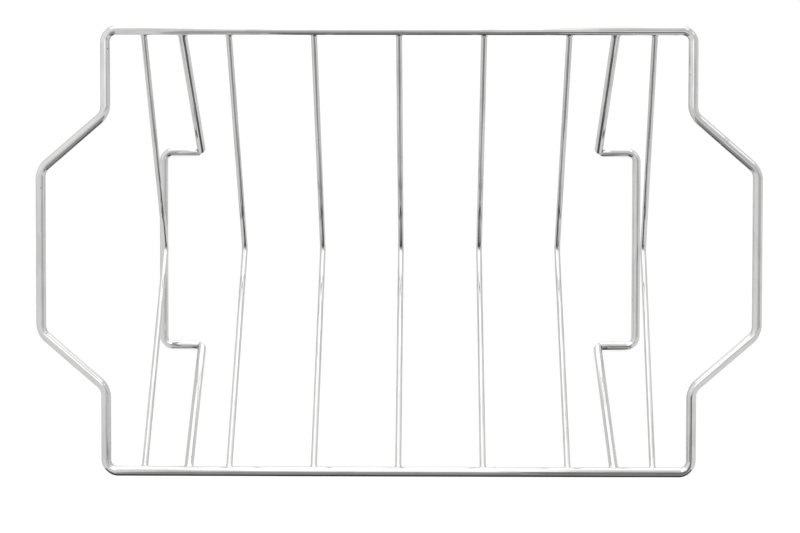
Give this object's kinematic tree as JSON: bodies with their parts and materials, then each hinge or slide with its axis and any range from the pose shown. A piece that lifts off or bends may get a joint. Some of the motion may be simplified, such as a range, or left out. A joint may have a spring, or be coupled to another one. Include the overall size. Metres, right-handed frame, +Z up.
{
  "type": "barbecue roast rack",
  "caption": "Chrome-plated welded wire rack: a bent frame with handle ears at its ends, V-shaped ribs that cradle a roast, and bent wire feet that hold it above the grill.",
  "frame": {"origin": "on the ground under the middle of the rack, centre of the bounding box's underside", "axes": "+X along the rack from handle to handle, +Y from the front rail to the back rail, +Z up"},
  "size_m": [0.436, 0.271, 0.1],
  "materials": {
    "chrome_wire": "bright chrome plate on round drawn steel wire"
  },
  "bodies": {
    "root": {"frame": "chrome_wire", "rib_1": "chrome_wire", "rib_2": "chrome_wire", "rib_3": "chrome_wire", "rib_4": "chrome_wire", "rib_5": "chrome_wire", "rib_6": "chrome_wire", "rib_7": "chrome_wire", "left_foot": "chrome_wire", "right_foot": "chrome_wire"}
  },
  "joints": []
}
